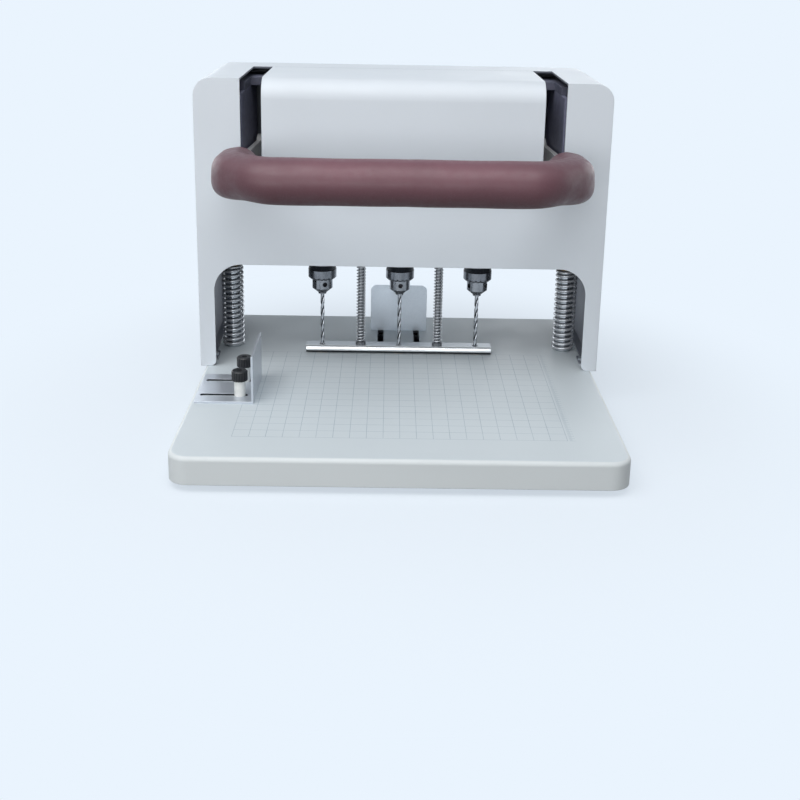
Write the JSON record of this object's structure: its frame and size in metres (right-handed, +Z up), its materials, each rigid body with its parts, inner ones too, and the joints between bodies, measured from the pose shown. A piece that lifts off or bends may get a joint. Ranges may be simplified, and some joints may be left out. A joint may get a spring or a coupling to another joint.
{
  "type": "electric paper drill",
  "caption": "Electric paper drill with a padded lever, sprung columns, chucked twist drills, press bar, side guide and rear stop on a flat base.",
  "frame": {"origin": "middle of the base's footprint, on the surface that the feet stand on", "axes": "+Z up, the operator stands on the -Y side, +X to the operator's right"},
  "size_m": [0.399, 0.389, 0.32],
  "materials": {
    "paint": "satin powder coat",
    "frame_black": "matt black paint",
    "bright_steel": "polished",
    "zinc_steel": "brushed, zinc plated",
    "alloy": "machined",
    "bronze": "turned bronze",
    "grip_leather": "grained leatherette over foam",
    "black_plastic": "moulded",
    "white_plastic": "moulded",
    "rubber": "moulded",
    "tool_steel": "ground"
  },
  "bodies": {
    "base": {"base_shell": "paint", "base_bottom": "zinc_steel", "rubber_feet": "rubber", "case_screws": "zinc_steel", "column_beam": "zinc_steel", "cutting_discs": "white_plastic", "guide_columns": "bright_steel", "column_spring_left": "bright_steel", "column_spring_right": "bright_steel", "main_housing": "paint", "rear_panel": "paint", "center_cover": "paint", "top_plate": "frame_black", "side_plates": "frame_black", "frame_bolts": "zinc_steel", "pivot_pins": "zinc_steel", "power_inlet": "black_plastic", "switch_bezel": "black_plastic", "guide_spacers": "white_plastic"},
    "handle": {"lever_arms": "zinc_steel", "handle_tube": "zinc_steel", "grip_sleeve": "grip_leather", "arm_bushes": "bronze"},
    "head": {"head_plate": "alloy", "guide_bushes": "bronze", "lift_brackets": "zinc_steel", "lift_pins": "bright_steel", "upper_plate": "alloy", "plate_standoffs": "zinc_steel", "spindle_bearings": "bright_steel", "motor_can": "black_plastic", "motor_cap": "alloy", "motor_belt": "rubber", "spindle_belts": "rubber", "press_spring_left": "bright_steel", "press_spring_right": "bright_steel"},
    "press": {"press_bar": "bright_steel", "press_rods": "bright_steel", "rod_nuts": "zinc_steel"},
    "rotor": {"motor_rotor": "zinc_steel"},
    "side_fence": {"side_guide": "zinc_steel"},
    "back_fence": {"rear_stop": "zinc_steel", "stop_clamp": "zinc_steel"},
    "rocker": {"switch_rocker": "black_plastic"},
    "knob_front": {"guide_knob_front": "black_plastic"},
    "knob_back": {"guide_knob_back": "black_plastic"},
    "knob_left": {"stop_knob_left": "black_plastic"},
    "knob_right": {"stop_knob_right": "black_plastic"},
    "drill_left": {"spindle_left": "zinc_steel", "chuck_body_left": "bright_steel", "chuck_sleeve_left": "bright_steel", "drill_bit_left": "tool_steel"},
    "drill_middle": {"spindle_middle": "zinc_steel", "chuck_body_middle": "bright_steel", "chuck_sleeve_middle": "bright_steel", "drill_bit_middle": "tool_steel"},
    "drill_right": {"spindle_right": "zinc_steel", "chuck_body_right": "bright_steel", "chuck_sleeve_right": "bright_steel", "drill_bit_right": "tool_steel"}
  },
  "joints": [
    {"name": "head_slide", "type": "slide", "parent": "base", "child": "head", "axis": [0, 0, 1], "range_m": [0, 0.05], "deforming": ["column_spring_left", "column_spring_right"]},
    {"name": "lever_hinge", "type": "hinge", "parent": "base", "child": "handle", "pos_m": [0, 0.1425, 0.232], "axis": [-1, 0, 0], "range_deg": [0, 48.9]},
    {"name": "press_slide", "type": "slide", "parent": "head", "child": "press", "axis": [0, 0, 1], "range_m": [0, 0.05], "stiffness_N_per_m": 300, "springref_m": -0.03, "deforming": ["press_spring_left", "press_spring_right"]},
    {"name": "drill_left_spin", "type": "hinge", "parent": "head", "child": "drill_left", "pos_m": [-0.08, 0.0725, 0.152], "axis": [0, 0, 1], "continuous": true},
    {"name": "drill_middle_spin", "type": "hinge", "parent": "head", "child": "drill_middle", "pos_m": [0, 0.0725, 0.152], "axis": [0, 0, 1], "continuous": true},
    {"name": "drill_right_spin", "type": "hinge", "parent": "head", "child": "drill_right", "pos_m": [0.08, 0.0725, 0.152], "axis": [0, 0, 1], "continuous": true},
    {"name": "motor_spin", "type": "hinge", "parent": "head", "child": "rotor", "pos_m": [0, 0.1305, 0.222], "axis": [0, 0, 1], "continuous": true},
    {"name": "side_guide_slide", "type": "slide", "parent": "base", "child": "side_fence", "axis": [1, 0, 0], "range_m": [-0.004, 0.034]},
    {"name": "rear_stop_slide", "type": "slide", "parent": "base", "child": "back_fence", "axis": [0, 1, 0], "range_m": [-0.055, 0]},
    {"name": "switch_rock", "type": "hinge", "parent": "base", "child": "rocker", "pos_m": [0.17875, 0.1785, 0.234], "axis": [-1, 0, 0], "range_deg": [0, 16]},
    {"name": "knob_front_turn", "type": "hinge", "parent": "base", "child": "knob_front", "pos_m": [-0.1495, -0.06025, 0.057], "axis": [0, 0, 1], "range_deg": [0, 360]},
    {"name": "knob_back_turn", "type": "hinge", "parent": "base", "child": "knob_back", "pos_m": [-0.1495, -0.02275, 0.057], "axis": [0, 0, 1], "range_deg": [0, 360]},
    {"name": "knob_left_turn", "type": "hinge", "parent": "back_fence", "child": "knob_left", "pos_m": [-0.0195, 0.1595, 0.057], "axis": [0, 0, 1], "range_deg": [0, 360]},
    {"name": "knob_right_turn", "type": "hinge", "parent": "back_fence", "child": "knob_right", "pos_m": [0.0195, 0.1595, 0.057], "axis": [0, 0, 1], "range_deg": [0, 360]}
  ],
  "couplings": [
    {"joint": "lever_hinge", "follows": "head_slide", "rad_per_m": 17.065},
    {"joint": "drill_left_spin", "follows": "drill_middle_spin", "ratio": 1},
    {"joint": "drill_right_spin", "follows": "drill_middle_spin", "ratio": 1},
    {"joint": "motor_spin", "follows": "drill_middle_spin", "ratio": 1.3333}
  ]
}
